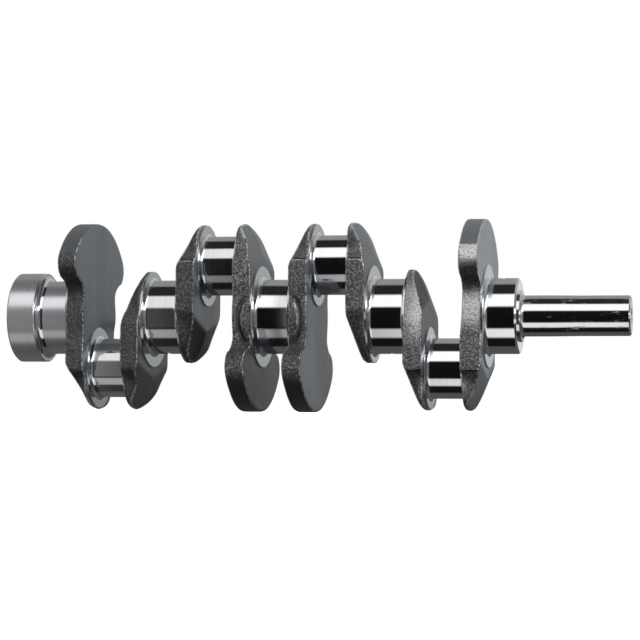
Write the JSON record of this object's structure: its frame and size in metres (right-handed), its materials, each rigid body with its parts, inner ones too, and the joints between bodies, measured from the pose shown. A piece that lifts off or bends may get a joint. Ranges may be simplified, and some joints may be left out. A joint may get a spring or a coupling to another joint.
{
  "type": "crankshaft",
  "caption": "Forged crankshaft with ground main journals and crankpins, wedge-ended webs, integral counterweights, a plain nose and a flywheel flange.",
  "frame": {"origin": "on the rotation axis, in the middle of the centre main journal", "axes": "+X along the rotation axis towards the nose, +Z in the plane of the throws towards the two inner crankpins, +Y across it"},
  "size_m": [0.5086, 0.1236, 0.154],
  "materials": {
    "ground_steel": "mirror ground bearing surface with fine marks round the axis",
    "turned_steel": "satin ground",
    "polished_steel": "polished, faint scratches",
    "hardened_steel": "hardened and ground",
    "forged_steel": "dark as-forged skin on the edges, milled grey side faces"
  },
  "bodies": {
    "root": {"rear_flange": "turned_steel", "flywheel_dowel": "hardened_steel", "nose": "polished_steel", "nose_key": "hardened_steel", "main_journal_1": "ground_steel", "main_journal_2": "ground_steel", "main_journal_3": "ground_steel", "main_journal_4": "ground_steel", "main_journal_5": "turned_steel", "crankpin_1": "ground_steel", "crankpin_2": "ground_steel", "crankpin_3": "ground_steel", "crankpin_4": "ground_steel", "web_1": "forged_steel", "web_2": "forged_steel", "web_3": "forged_steel", "web_4": "forged_steel", "web_5": "forged_steel", "web_6": "forged_steel", "web_7": "forged_steel", "web_8": "forged_steel", "counterweight_1": "forged_steel", "counterweight_4": "forged_steel", "counterweight_5": "forged_steel", "counterweight_8": "forged_steel"}
  },
  "joints": []
}
